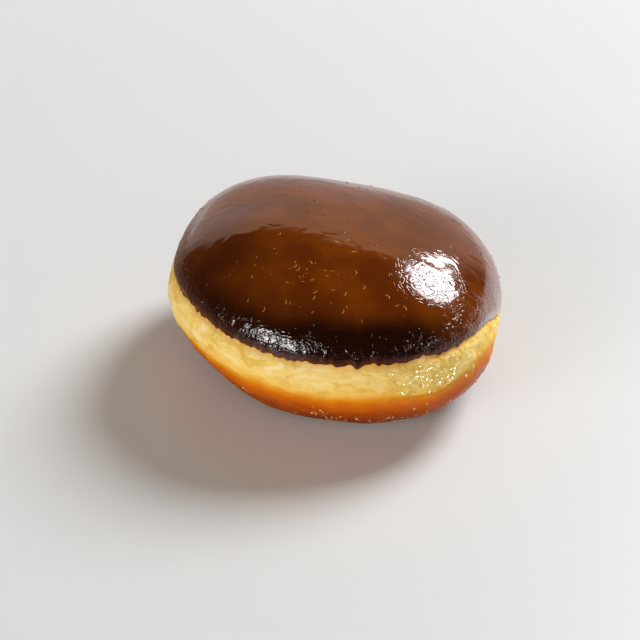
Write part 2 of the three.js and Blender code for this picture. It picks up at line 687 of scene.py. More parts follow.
@dataclass(frozen=True)
class ChocolateFinish:
    """Set chocolate icing: deep, glossy brown, thin and reddish at its rim."""

    light: str = "793704"
    deep: str = "632904"
    # Nearly black: icing lying thick, and the painted shade on the front and left.
    thick: str = "270c02"
    rim: str = "5a2610"
    gloss: float = 0.05
    crinkle_blur: float = 0.04
    smear_blur: float = 0.05
    crease_size: float = 1.9 * MM
    crease_depth: float = 0.6 * MM
    contour_size: float = 6 * MM
    contours: float = 32.0
    groove_depth: float = 0.07 * MM
    groove_width: float = 0.5
    swell_size: float = 5.5 * MM
    swell_depth: float = 0.15 * MM
    cloud_size: float = 12 * MM
    cloud_span: Span = (0.36, 0.64)
    pool_wander: float = 0.5
    pool_span: Span = (0.12, 0.88)
    rim_grain: float = 1.0 * MM
    rim_raggedness: float = 1.4
    rim_span: Span = (-0.4, 1.2)
    smear_size: float = 8 * MM
    smear_span: Span = (0.35, 0.75)

    def _colour(self, sheet: ShaderSheet, place: Output) -> Output:
        """Colours the icing: cloudy where thin, nearly black where it pools and in painted shade, and
        reddish at the rim.

        Args:
            sheet: The icing's sheet.
            place: The place on the object.

        Returns:
            The colour.
        """
        cloud = sheet.remap(sheet.noise(place, self.cloud_size, 6), self.cloud_span)
        thin = sheet.blend(cloud, paint(self.deep), paint(self.light))
        # Darker where the icing pools, and where painted shade stands in for shading on the front and left.
        pooled_and_shaded = sheet.trait(Trait.POOL)
        wander = sheet.wander(place, self.pool_wander)
        depth = sheet.remap(sheet.math("MULTIPLY_ADD", pooled_and_shaded, wander, pooled_and_shaded), self.pool_span)
        body = sheet.blend(depth, thin, paint(self.thick))
        ragged = sheet.math("MULTIPLY", sheet.noise(place, self.rim_grain, 2), self.rim_raggedness)
        at_rim = sheet.remap(sheet.math("SUBTRACT", sheet.trait(Trait.RIM), ragged), self.rim_span, (1, 0))
        return sheet.blend(at_rim, body, paint(self.rim))

    def material(self) -> bpy.types.Material:
        """Builds the material.

        Returns:
            The material.
        """
        sheet = FinishSheet("chocolate_icing_finish")
        place = sheet.place()
        crinkle = sheet.trait(Trait.CRINKLE)
        creases = sheet.math("MULTIPLY", sheet.noise(place, self.crease_size, 2, warp=0.8), crinkle)
        normal = sheet.bump(creases, self.crease_depth)
        level = sheet.noise(place, self.contour_size, 1, warp=1.2)
        contours = sheet.math("SINE", sheet.math("MULTIPLY", level, self.contours))
        grooves = sheet.remap(sheet.math("ABSOLUTE", contours), (0.0, self.groove_width))
        grooves = sheet.math("MULTIPLY", grooves, sheet.trait(Trait.SKIN))
        normal = sheet.bump(grooves, self.groove_depth, normal)
        normal = sheet.bump(sheet.noise(place, self.swell_size, 1, warp=0.8), self.swell_depth, normal)
        smear = sheet.noise(place, self.smear_size, 4)
        smear = sheet.remap(smear, self.smear_span, (0, self.smear_blur))
        blur = sheet.math("MULTIPLY_ADD", crinkle, self.crinkle_blur, self.gloss)
        sheet.set(
            base_color=self._colour(sheet, place),
            roughness=sheet.math("ADD", blur, smear),
            ior=1.45,
            normal=normal,
        )
        return sheet.material


@dataclass(frozen=True)
class GoldenGlintFinish:
    """Thin rims left by bubbles that burst while the icing set, painted bright gold as a glint."""

    light: str = "ffc02c"
    deep: str = "f89a10"

    def material(self) -> bpy.types.Material:
        """Builds the material.

        Returns:
            The material.
        """
        sheet = FinishSheet("caramel_finish")
        place = sheet.place()
        cloud = sheet.noise(place, 3 * MM, 2)
        sheet.set(
            base_color=sheet.blend(cloud, paint(self.deep), paint(self.light)),
            roughness=sheet.remap(cloud, (0.3, 0.7), (0.3, 0.45)),
            normal=sheet.bump(sheet.noise(place, 0.4 * MM, 2), 0.03 * MM),
        )
        return sheet.material


@dataclass(frozen=True)
class BeadFinish:
    """Glossy blisters or beads of oil, patchy in colour and in gloss."""

    name: str
    light: str
    deep: str
    patch_size: float
    roughness: Span
    grain_size: float
    grain_detail: float
    grain_depth: float

    def material(self) -> bpy.types.Material:
        """Builds the material.

        Returns:
            The material.
        """
        sheet = FinishSheet(self.name)
        place = sheet.place()
        patchy = sheet.remap(sheet.noise(place, self.patch_size, 2), (0.35, 0.65))
        grain = sheet.noise(place, self.grain_size, self.grain_detail)
        sheet.set(
            base_color=sheet.blend(patchy, paint(self.deep), paint(self.light)),
            roughness=sheet.remap(patchy, (0, 1), self.roughness),
            normal=sheet.bump(grain, self.grain_depth),
        )
        return sheet.material


# Their pale golden colour partly paints the highlights that the crust's blisters catch.
BLISTER_AND_HIGHLIGHT_FINISH = BeadFinish(
    "crust_blister_finish",
    light="f2c07c",
    deep="cc7422",
    patch_size=4 * MM,
    roughness=(0.32, 0.16),
    grain_size=0.5 * MM,
    grain_detail=2,
    grain_depth=0.04 * MM,
)
OIL_FINISH = BeadFinish(
    "oil_bead_finish",
    light="f6dc86",
    deep="dfb54a",
    patch_size=3 * MM,
    roughness=(0.08, 0.14),
    grain_size=0.8 * MM,
    grain_detail=1,
    grain_depth=0.02 * MM,
)


@dataclass(frozen=True)
class FriedDoughFinish:
    """Fried dough: a cream-yellow band that deepens to golden and then brown crust below."""

    bands: tuple[tuple[float, str], ...] = (
        (0.00, "f3d074"),
        (0.24, "f5d67e"),
        (0.295, "f5c65c"),
        (0.335, "e8980a"),
        (0.38, "d87000"),
        (0.46, "b44c00"),
        (0.60, "923c00"),
        (1.00, "6c3002"),
    )
    bands_span: Span = (-14.0, 26.0)
    bands_wander: float = 3.0
    honey: str = "e3b53c"
    cream: str = "fbe8b4"
    pore_shade: str = "c98a2c"
    below_icing_orange: str = "e39a2a"
    oiled: str = "e9cb58"
    pale_edge: Span = (-2.5, -0.5)
    blotch_size: float = 3.6 * MM
    honey_span: Span = (0.46, 0.66)
    honey_strength: float = 0.8
    cream_span: Span = (0.44, 0.3)
    cream_strength: float = 0.65
    pore_shade_span: Span = (0.05, 0.13)
    pore_shade_strength: float = 0.4
    below_icing_reach: float = 1.8
    below_icing_strength: float = 0.55
    oiled_strength: float = 0.5
    level: tuple[float, float, float] = (0.6, 0.6, 1.2)
    wrinkle_size: float = 2.6 * MM
    wrinkle_depth: float = 0.7 * MM
    crust_span: Span = (-3.0, 4.0)
    crust_wrinkles: float = 0.35
    crust_gloss: float = 0.18
    pore_spacing: float = 2.4 * MM
    pore_depth: float = 0.06 * MM
    oil_size: float = 1.8 * MM
    oil_depth: float = 0.9 * MM
    oil_gloss: float = 0.16
    dry_roughness: float = 0.58
    dry_patchiness: float = 0.08

    def _colour(self, sheet: ShaderSheet, place: Output) -> Output:
        """Colours the dough: baked bands, mottling, painted shade in its pores, and warmer orange just below
        the icing's edge.

        Args:
            sheet: The dough's sheet.
            place: The place on the object.

        Returns:
            The colour.
        """
        depth = sheet.math("ADD", sheet.trait(Trait.CRUST), sheet.wander(place, self.bands_wander))
        inputs = {"Value": depth, "From Min": self.bands_span[0], "From Max": self.bands_span[1]}
        bands = sheet.ramp(sheet.add("MapRange", inputs).outputs["Result"], self.bands)
        pale = sheet.remap(sheet.trait(Trait.CRUST), self.pale_edge, (1, 0))
        blotches = sheet.noise(sheet.place(self.level), self.blotch_size, 4, warp=0.6)
        honey = sheet.remap(blotches, self.honey_span, (0, self.honey_strength))
        honey = sheet.math("MULTIPLY", honey, pale)
        cream = sheet.remap(blotches, self.cream_span, (0, self.cream_strength))
        cream = sheet.math("MULTIPLY", cream, pale)
        mottled = sheet.blend(cream, sheet.blend(honey, bands, paint(self.honey)), paint(self.cream))
        # Painted shade: darker golden in the dent of each pore.
        pore_shades = sheet.cells(place, self.pore_spacing)
        pore_shades = sheet.remap(pore_shades, self.pore_shade_span, (self.pore_shade_strength, 0))
        pore_shaded = sheet.blend(sheet.math("MULTIPLY", pore_shades, pale), mottled, paint(self.pore_shade))
        # Warmer orange just below the icing's edge.
        below_icing_orange = sheet.remap(sheet.trait(Trait.UNDER), (0, self.below_icing_reach), (self.below_icing_strength, 0))
        orange_below_icing = sheet.blend(below_icing_orange, pore_shaded, paint(self.below_icing_orange))
        oily = sheet.remap(sheet.trait(Trait.OIL), (0.2, 1), (0, self.oiled_strength))
        return sheet.blend(oily, orange_below_icing, paint(self.oiled))

    def material(self) -> bpy.types.Material:
        """Builds the material.

        Returns:
            The material.
        """
        sheet = FinishSheet("fried_dough_finish")
        place = sheet.place()
        crust = sheet.remap(sheet.trait(Trait.CRUST), self.crust_span)
        wrinkles = sheet.noise(sheet.place(self.level), self.wrinkle_size, 4, warp=0.8)
        depth = sheet.math("MULTIPLY", wrinkles, sheet.remap(crust, (0, 1), (1, self.crust_wrinkles)))
        normal = sheet.bump(depth, self.wrinkle_depth)
        pores = sheet.remap(sheet.cells(place, self.pore_spacing), (0.04, 0.2))
        normal = sheet.bump(pores, self.pore_depth, normal)
        oil = sheet.remap(sheet.trait(Trait.OIL), (0.15, 0.8))
        wet = sheet.math("MULTIPLY", sheet.noise(place, self.oil_size, 3), oil)
        normal = sheet.bump(wet, self.oil_depth, normal)
        swing = (-self.dry_patchiness, self.dry_patchiness)
        patchy = sheet.remap(sheet.noise(place, 3 * MM, 3), (0.3, 0.7), swing)
        dry = sheet.math("MULTIPLY_ADD", crust, -self.crust_gloss, self.dry_roughness)
        dry = sheet.math("ADD", dry, patchy)
        sheet.set(
            base_color=self._colour(sheet, place),
            roughness=sheet.add("Mix", {0: oil, 2: dry, 3: self.oil_gloss}).outputs[0],
            ior=1.42,
            specular_ior_level=0.15,
            subsurface_weight=0.2,
            subsurface_radius=(1.0, 0.55, 0.2),
            subsurface_scale=2.5 * MM,
            normal=normal,
        )
        return sheet.material


# ---------------------------------------------------------------------------------------------
# Pieces
# ---------------------------------------------------------------------------------------------


@dataclass
class Dough:
    """The fried dough: one baked piece with a flattened base."""

    form: DoughnutForm
    edge: IcingEdge
    sectors: int = 600
    base_rings: int = 10
    side_rings: int = 140
    covered_rings: int = 8
    crust_height: float = 17.9 * MM
    crust_waves: tuple[Wave, ...] = (Wave(1, 4.4 * MM, 2), Wave(2, 2.1 * MM, -38), Wave(3, 1.4 * MM, 5))
    crust_dips: tuple[Patch, ...] = (
        Patch(-137, 24, 2.7 * MM),
        Patch(-60, 10, -0.9 * MM),
    )
    least_pale: float = 7.0 * MM
    oily: tuple[Patch, ...] = (Patch(-62, 13, 1.0), Patch(-45, 7, 0.5))
    broad_lumps: Lumps = Lumps(0.40, 17 * MM)
    soft_lumps: Lumps = Lumps(0.30, 7 * MM)
    creases: Lumps = Lumps(0.42, (7 * MM, 7 * MM, 2.4 * MM))
    fine_creases: Lumps = Lumps(0.16, (3 * MM, 3 * MM, 1.6 * MM))
    pebbles: Lumps = Lumps(0.10, 2.6 * MM)
    bare_span: Span = (-0.5, 3.0)
    crust_span: Span = (-1.0, 4.0)
    seam_depth: float = 0.35
    seam_middle: float = 0.8
    seam_width: float = 1.1
    seam_patch: float = 14 * MM
    cluster_size: float = 4 * MM
    stray_blisters: float = 0.1
    blisters_below: Span = (2.0, 5.0)
    blisters_above: Span = (24.0, 18.0)
    blistered: tuple[Patch, ...] = (
        Patch(-128, 9, 1.0),
        Patch(-94, 8, 0.7),
        Patch(-72, 6, 0.5),
        Patch(-45, 18, 1.0),
        Patch(80, 30, 0.5),
        Patch(165, 25, 0.6),
    )
    seed: int = 4

    def _rises(self, angle: np.ndarray) -> np.ndarray:
        """Places the rings in each direction, close together where the dough shows.

        Args:
            angle: The direction of each sector.

        Returns:
            The values as (ring, sector).
        """
        whole = self.form.arc(np.array([CROWN]))[0]
        edge = self.form.arc_at(self.edge.height(angle))
        base = 0.8 * self.form.base_share * self.form.radius
        parts = [
            base * (np.arange(1, self.base_rings + 1) / self.base_rings)[:, None] + 0 * edge,
            base + (edge - base) * (np.arange(1, self.side_rings + 1) / self.side_rings)[:, None],
            edge + (whole - edge) * (np.arange(1, self.covered_rings) / self.covered_rings)[:, None],
        ]
        return self.form.rise_after(np.concatenate(parts))

    def _relief(self, points: np.ndarray, traits: dict[Trait, np.ndarray]) -> np.ndarray:
        """How far the skin stands out: soft lumps, level creases in the pale band and a pebbled crust.

        Args:
            points: The skin's points.
            traits: The facts at each point.

        Returns:
            The relief at each point, in metres.
        """
        noise = SmoothNoise(self.seed)
        bare = smooth(traits[Trait.UNDER], *self.bare_span)
        crust = smooth(traits[Trait.CRUST], *self.crust_span)
        lumps = self.broad_lumps.at(noise, points) + self.soft_lumps.at(noise, points)
        creases = -np.abs(self.creases.at(noise, points)) - self.fine_creases.at(noise, points)
        pebbles = self.pebbles.at(noise, points)
        patchy = smooth(noise.at(points, self.seam_patch), -0.1, 0.5)
        off_seam = (traits[Trait.CRUST] - self.seam_middle) / self.seam_width
        seam = -self.seam_depth * patchy * np.exp(-(off_seam**2))
        return MM * bare * (lumps + (1 - crust) * creases + crust * pebbles + seam)

    def build(self) -> bpy.types.Object:
        """Builds the dough.

        Returns:
            The object.
        """
        angle = np.linspace(0, 2 * math.pi, self.sectors, endpoint=False)
        rise = self._rises(angle)
        turned = np.broadcast_to(angle, rise.shape)
        edge = self.form.arc_at(self.edge.height(angle))
        shore = self.form.arc_at(self.edge.line(angle))
        line = self.crust_height + sum_waves(self.crust_waves, angle) + sum_patches(self.crust_dips, angle)
        line = np.minimum(line, self.edge.line(angle) - self.least_pale)
        crust = self.form.arc_at(line)
        below = (crust - self.form.arc(rise)) / MM
        up = self.form.arc(rise) - edge
        pale = smooth(below, 1.0, -2.0) * smooth(up / MM, -0.5, -3.0)
        traits = {
            Trait.CRUST: below,
            Trait.UNDER: -up / MM,
            Trait.OIL: pale * sum_patches(self.oily, turned),
        }
        inset = self.edge.dough_inset(self.form.height(rise), up + edge - shore, up)
        points = self.form.point(turned, rise, inset)
        clusters = smooth(SmoothNoise(self.seed + 1).at(points, self.cluster_size), -0.5, 0.3)
        clusters = clusters * (self.stray_blisters + sum_patches(self.blistered, turned))
        clusters = clusters * smooth(below, *self.blisters_below) * smooth(below, *self.blisters_above)
        traits[Trait.BLISTER] = clusters
        split = self.base_rings + self.side_rings
        skin = Skin("dough_skin", points, traits, split, main_first=True)
        skin.raise_by(self._relief(points, traits))
        skin.rings = self.form.settle(skin.rings)
        made = skin.build()
        made.data.materials.append(FriedDoughFinish().material())
        return made


@dataclass
class ChocolateIcing:
    """The set chocolate icing: a thin coat over the dough's top that rolls in at a ragged edge."""

    form: DoughnutForm
    edge: IcingEdge
    sectors: int = 640
    inner_rings: int = 8
    lip_rings: int = 5
    outer_rings: int = 132
    crinkled: tuple[Patch, ...] = (
        Patch(-50, 22, 0.7),
        Patch(-115, 26, 0.8),
        Patch(-80, 20, 0.45),
        Patch(-165, 26, 0.4),
        Patch(60, 50, 0.4),
        Patch(160, 40, 0.35),
    )
    # Where the icing pools near its edge, darkened further by painted shade on the front and left.
    pooled_and_shaded: tuple[Patch, ...] = (
        Patch(-84, 30, 1.1),
        Patch(-125, 24, 0.4),
        Patch(-50, 20, 0.25),
        Patch(-165, 30, 0.1),
        Patch(110, 60, 0.35),
    )
    # How far up the pooling and its painted shade reach.
    pool_reach: tuple[Patch, ...] = (Patch(-84, 42, 14.0), Patch(-140, 32, 4.0), Patch(100, 90, 12.0))
    # Painted shade on the left, away from the key.
    pool_spots: tuple[Spot, ...] = (Spot(-30 * MM, -14 * MM, 24 * MM, 0.5),)
    ripple_spots: tuple[Spot, ...] = (Spot(24 * MM, -22 * MM, 7.5 * MM),)
    swells: tuple[Spot, ...] = (
        Spot(33 * MM, 24 * MM, 13 * MM, 0.7),
        Spot(-32 * MM, 12 * MM, 13 * MM, -0.7),
        Spot(12 * MM, 12 * MM, 16 * MM, 0.2),
    )
    glint_spots: tuple[Spot, ...] = (Spot(-8 * MM, -26 * MM, 12 * MM), Spot(14 * MM, -33 * MM, 2.5 * MM))
    broad_lumps: Lumps = Lumps(0.15, 21 * MM)
    soft_lumps: Lumps = Lumps(0.06, 9 * MM)
    ripples: Lumps = Lumps(0.014, 3.6 * MM)
    runs: Lumps = Lumps(0.045, 1.9 * MM)
    sags: Lumps = Lumps(0.16, 5 * MM)
    run_length: float = 0.6
    sag_length: float = 0.7
    run_patch: float = 11 * MM
    runs_below: Span = (9.0, 1.0)
    lumps_above: Span = (0.0, 3.0)
    calming: float = 0.9
    low_span: Span = (10.0, 4.0)
    stray_bubbles: float = 0.12
    low_bubbles: float = 0.5
    low_skin: float = 0.3
    ring_crowding: float = 1.4
    seed: int = 23

    def _rings(self, angle: np.ndarray, shares: np.ndarray, inner: bool) -> tuple[np.ndarray, np.ndarray]:
        """Rings of one face.

        Args:
            angle: The direction of each sector.
            shares: How far up from the edge to the crown each ring lies, from 0 to 1.
            inner: Whether this is the inner face.

        Returns:
            The points, and how far up from the edge each lies.
        """
        whole = self.form.arc(np.array([CROWN]))[0]
        edge = self.form.arc_at(self.edge.height(angle))
        shore = self.form.arc_at(self.edge.line(angle))
        up = (whole - edge) * shares[:, None]
        rise = self.form.rise_after(edge + up)
        measure = self.edge.inner_inset if inner else self.edge.outer_inset
        inset = measure(self.form.height(rise), up + edge - shore)
        return self.form.point(np.broadcast_to(angle, rise.shape), rise, inset), up

    def _lip(self, angle: np.ndarray) -> np.ndarray:
        """Rings around the rounded edge, from inside to outside.

        Args:
            angle: The direction of each sector.

        Returns:
            The points as (ring, sector, 3).
        """
        edge = self.form.rise_at(self.edge.height(angle))
        turns = np.linspace(0, math.pi, self.lip_rings + 2)[1:-1, None]
        shore = self.form.arc_at(self.edge.line(angle))
        outer = self.edge.outer_inset(self.edge.height(angle), self.form.arc(edge) - shore)
        inset = outer + 0.5 * self.edge.edge_thickness * (1 + np.cos(turns))
        turned, rise = (np.broadcast_to(values, inset.shape) for values in (angle, edge))
        points = self.form.point(turned, rise, inset)
        points[..., 2] -= 0.5 * self.edge.edge_thickness * np.sin(turns)
        return points

    def _relief(self, points: np.ndarray, angle: np.ndarray, above: np.ndarray) -> np.ndarray:
        """How far the outer face stands out: broad lumps, soft ripples, and runs down to the edge.

        Args:
            points: The outer face's points.
            angle: The direction of each point.
            above: How far above the edge each point lies, in millimetres.

        Returns:
            The relief at each point.
        """
        noise = SmoothNoise(self.seed)
        calm = 1 - self.calming * np.clip(sum_spots(self.ripple_spots, points), 0, 1)
        lumps = self.broad_lumps.at(noise, points) + calm * self.soft_lumps.at(noise, points)
        lumps += sum_spots(self.swells, points) + self.ripples.at(noise, points)
        around = self.form.radius * angle
        runs, sags = (
            pattern.at(noise, np.stack([around, above * MM * length, 0 * angle], axis=-1))
            for pattern, length in ((self.runs, self.run_length), (self.sags, self.sag_length))
        )
        patchy = smooth(noise.at(points, self.run_patch), -0.5, 0.6)
        low = smooth(above, *self.runs_below)
        return MM * (smooth(above, *self.lumps_above) * lumps + low * patchy * (runs + sags))

    def build(self) -> bpy.types.Object:
        """Builds the icing.

        Returns:
            The object.
        """
        angle = np.linspace(0, 2 * math.pi, self.sectors, endpoint=False)
        inner, inner_up = self._rings(angle, np.arange(self.inner_rings) / self.inner_rings, inner=True)
        lip = self._lip(angle)
        shares = (np.arange(self.outer_rings) / self.outer_rings) ** self.ring_crowding
        outer, up = self._rings(angle, shares, inner=False)
        points = np.concatenate([inner[::-1], lip, outer])
        above = np.concatenate([inner_up[::-1], np.zeros(lip.shape[:2]), up]) / MM
        outside = np.concatenate([np.zeros(inner.shape[:2]), np.zeros(lip.shape[:2]), np.ones(up.shape)])
        turned = np.broadcast_to(angle, above.shape)
        edge_arc = self.form.arc_at(self.edge.height(angle))
        shore = (self.form.arc_at(self.edge.line(angle)) - edge_arc) / MM
        low = smooth(above, *self.low_span)
        crinkle = low * np.clip(sum_patches(self.crinkled, turned), 0, 1)
        rippled = sum_spots(self.ripple_spots, points)
        # The icing pools low, darkened further by painted shade on the front and left.
        pooled_and_shaded = np.clip(sum_patches(self.pooled_and_shaded, turned), 0, 1)
        low_pool_and_shade = smooth(above - shore, sum_patches(self.pool_reach, turned) + 5.0, 4.0)
        bubbly = np.clip(self.stray_bubbles + rippled + self.low_bubbles * low + crinkle, 0, 1)
        traits = {
            Trait.RIM: above,
            Trait.POOL: np.clip(low_pool_and_shade * pooled_and_shaded + sum_spots(self.pool_spots, points), 0, 1),
            Trait.CRINKLE: np.clip(crinkle, 0, 1),
            Trait.SKIN: np.clip(rippled + self.low_skin * low, 0, 1),
            Trait.BUBBLE: outside * smooth(above, 1.0, 3.0) * bubbly,
            Trait.GLINT: outside * sum_spots(self.glint_spots, points),
        }
        skin = Skin("icing_coat", points, traits, self.inner_rings, main_first=False)
        skin.raise_by(outside * self._relief(points, turned, above))
        skin.rings = self.form.settle(skin.rings)
        made = skin.build()
        made.data.materials.append(ChocolateFinish().material())
        return made


class NodePlan(NodeSheet):
    """A Geometry Nodes tree with its input and output nodes."""

    def __init__(self, name: str) -> None:
        """Starts the tree under its name.

        Args:
            name: The tree's name.
        """
        super().__init__(bpy.data.node_groups.new(name, "GeometryNodeTree"))
        self.given = self.add("NodeGroupInput")
        self.result = self.add("NodeGroupOutput")

    def socket(self, name: str, kind: str, way: str = "INPUT") -> None:
        """Adds a named input or output to the tree."""
        self.tree.interface.new_socket(name, in_out=way, socket_type="NodeSocket" + kind)


@dataclass
class Scatter:
    """Small blisters, bubbles or bubble rims scattered over a skin by Geometry Nodes."""

    name: str
    grain: Grain
    room: Trait
    material: bpy.types.Material
    per_square_metre: float
    spacing: float
    smallest: float
    largest: float
    flatness: float
    seed: int
    dome_sides: int = 8
    dome_rings: int = 5
    rim_turn: float = 2.0
    rim_steps: int = 8
    rim_sides: int = 5
    rim_radius: float = 0.08

    def _shape(self, plan: NodePlan) -> Output:
        """Makes one grain of radius 1: a dome, or an arc of thin rim.

        Args:
            plan: The tree to build it in.

        Returns:
            The grain.
        """
        if self.grain is Grain.DOME:
            ball = {"Segments": self.dome_sides, "Rings": self.dome_rings, "Radius": 1.0}
            solid = plan.add("GeometryNodeMeshUVSphere", ball).outputs["Mesh"]
        else:
            path = {"Resolution": self.rim_steps, "Radius": 1.0, "Sweep Angle": self.rim_turn}
            arc = plan.add("GeometryNodeCurveArc", path)
            section = {"Resolution": self.rim_sides, "Radius": self.rim_radius}
            ring = plan.add("GeometryNodeCurvePrimitiveCircle", section)
            tube = {"Curve": arc.outputs["Curve"], "Profile Curve": ring.outputs["Curve"], "Fill Caps": True}
            solid = plan.add("GeometryNodeCurveToMesh", tube).outputs["Mesh"]
        return plan.add("GeometryNodeSetShadeSmooth", {"Geometry": solid}).outputs["Geometry"]

    def _tree(self) -> bpy.types.NodeTree:
        """Builds the node tree that scatters the grains.

        Returns:
            The tree.
        """
        plan = NodePlan(self.name + "_scatter")
        plan.socket("Skin", "Geometry")
        for label in ("Density", "Spacing", "Smallest", "Largest", "Flatness"):
            plan.socket(label, "Float")
        plan.socket("Seed", "Int")
        plan.socket("Finish", "Material")
        plan.socket("Grains", "Geometry", "OUTPUT")
        given = plan.given.outputs

        room = plan.add("GeometryNodeInputNamedAttribute", {"Name": self.room.value}, data_type="FLOAT")
        inputs = {
            "Mesh": given["Skin"],
            "Distance Min": given["Spacing"],
            "Density Max": given["Density"],
            "Density Factor": room.outputs["Attribute"],
            "Seed": given["Seed"],
        }
        points = plan.add("GeometryNodeDistributePointsOnFaces", inputs, distribute_method="POISSON")
        inputs = {2: given["Smallest"], 3: given["Largest"], "Seed": given["Seed"]}
        size = plan.add("FunctionNodeRandomValue", inputs, data_type="FLOAT").outputs[1]
        thin = plan.add("ShaderNodeMath", {0: size, 1: given["Flatness"]}, operation="MULTIPLY")
        scale = plan.add("ShaderNodeCombineXYZ", {"X": size, "Y": size, "Z": thin.outputs[0]})
        inputs = {3: 2 * math.pi, "Seed": given["Seed"]}
        turn = plan.add("FunctionNodeRandomValue", inputs, data_type="FLOAT").outputs[1]
        spin = plan.add("ShaderNodeCombineXYZ", {"Z": turn})
        inputs = {"Rotation": points.outputs["Rotation"], "Rotate By": spin.outputs["Vector"]}
        turned = plan.add("FunctionNodeRotateRotation", inputs, rotation_space="LOCAL")
        inputs = {
            "Points": points.outputs["Points"],
            "Instance": self._shape(plan),
            "Rotation": turned.outputs["Rotation"],
            "Scale": scale.outputs["Vector"],
        }
        grains = plan.add("GeometryNodeInstanceOnPoints", inputs)
        real = plan.add("GeometryNodeRealizeInstances", {"Geometry": grains.outputs["Instances"]})
        inputs = {"Geometry": real.outputs["Geometry"], "Material": given["Finish"]}
        finish = plan.add("GeometryNodeSetMaterial", inputs)
        plan.tree.links.new(finish.outputs["Geometry"], plan.result.inputs["Grains"])
        return plan.tree

    def build(self, skin: bpy.types.Object) -> bpy.types.Object:
        """Scatters the grains over a skin.

        Args:
            skin: The object they sit on.

        Returns:
            A plain mesh object that holds all the grains.
        """
        carrier = add_object(self.name + "_carrier", skin.data)
        modifier = carrier.modifiers.new("scatter", "NODES")
        modifier.node_group = self._tree()
        values = {
            "Density": self.per_square_metre,
            "Spacing": self.spacing,
            "Smallest": self.smallest,
            "Largest": self.largest,
            "Flatness": self.flatness,
            "Seed": self.seed,
            "Finish": self.material,
        }
        for item in modifier.node_group.interface.items_tree:
            if item.in_out == "INPUT" and item.name in values:
                modifier[item.identifier] = values[item.name]
        evaluated = carrier.evaluated_get(bpy.context.evaluated_depsgraph_get())
        mesh = bpy.data.meshes.new_from_object(evaluated)
        mesh.name = self.name
        bpy.data.objects.remove(carrier)
        return add_object(self.name, mesh)


# ---------------------------------------------------------------------------------------------
# The studio
# ---------------------------------------------------------------------------------------------


def direction(azimuth: float, elevation: float) -> Vector:
    """A unit vector, from degrees round from the back (+Y) towards the right (+X) and degrees up."""
    turn, tilt = math.radians(azimuth), math.radians(elevation)
    return Vector((math.sin(turn) * math.cos(tilt), math.cos(turn) * math.cos(tilt), math.sin(tilt)))


@dataclass(frozen=True)
class Softbox:
    """A soft oval light that faces the doughnut."""

    name: str
    azimuth: float
    elevation: float
    width: float
    height: float
    radiance: float
    distance: float = 2.5
    colour: tuple[float, float, float] = (1.0, 1.0, 1.0)
    shows_in_gloss: bool = True
    lights_matt: bool = True

    def build(self, target: Vector, lit: list[bpy.types.Object] | None = None) -> bpy.types.Object:
        """Adds the light.

        Args:
            target: The point it faces.
            lit: The only objects it lights, or nothing for all.

        Returns:
            The light's object. Width and height are degrees as seen from the target.
        """
        lamp = bpy.data.lights.new(self.name, "AREA")
        lamp.shape = "ELLIPSE"
        lamp.size = 2 * self.distance * math.tan(math.radians(self.width / 2))
        lamp.size_y = 2 * self.distance * math.tan(math.radians(self.height / 2))
        lamp.energy = self.radiance * math.pi * lamp.size * lamp.size_y * math.pi / 4
        lamp.color = self.colour
        made = bpy.data.objects.new(self.name, lamp)
        bpy.context.scene.collection.objects.link(made)
        towards = direction(self.azimuth, self.elevation)
        made.location = target + self.distance * towards
        made.rotation_euler = towards.to_track_quat("Z", "Y").to_euler()
        made.visible_glossy = self.shows_in_gloss
        made.visible_diffuse = self.lights_matt
        if lit:
            made.light_linking.receiver_collection = bpy.data.collections.new(self.name + "_lights")
            for item in lit:
                made.light_linking.receiver_collection.objects.link(item)
        return made


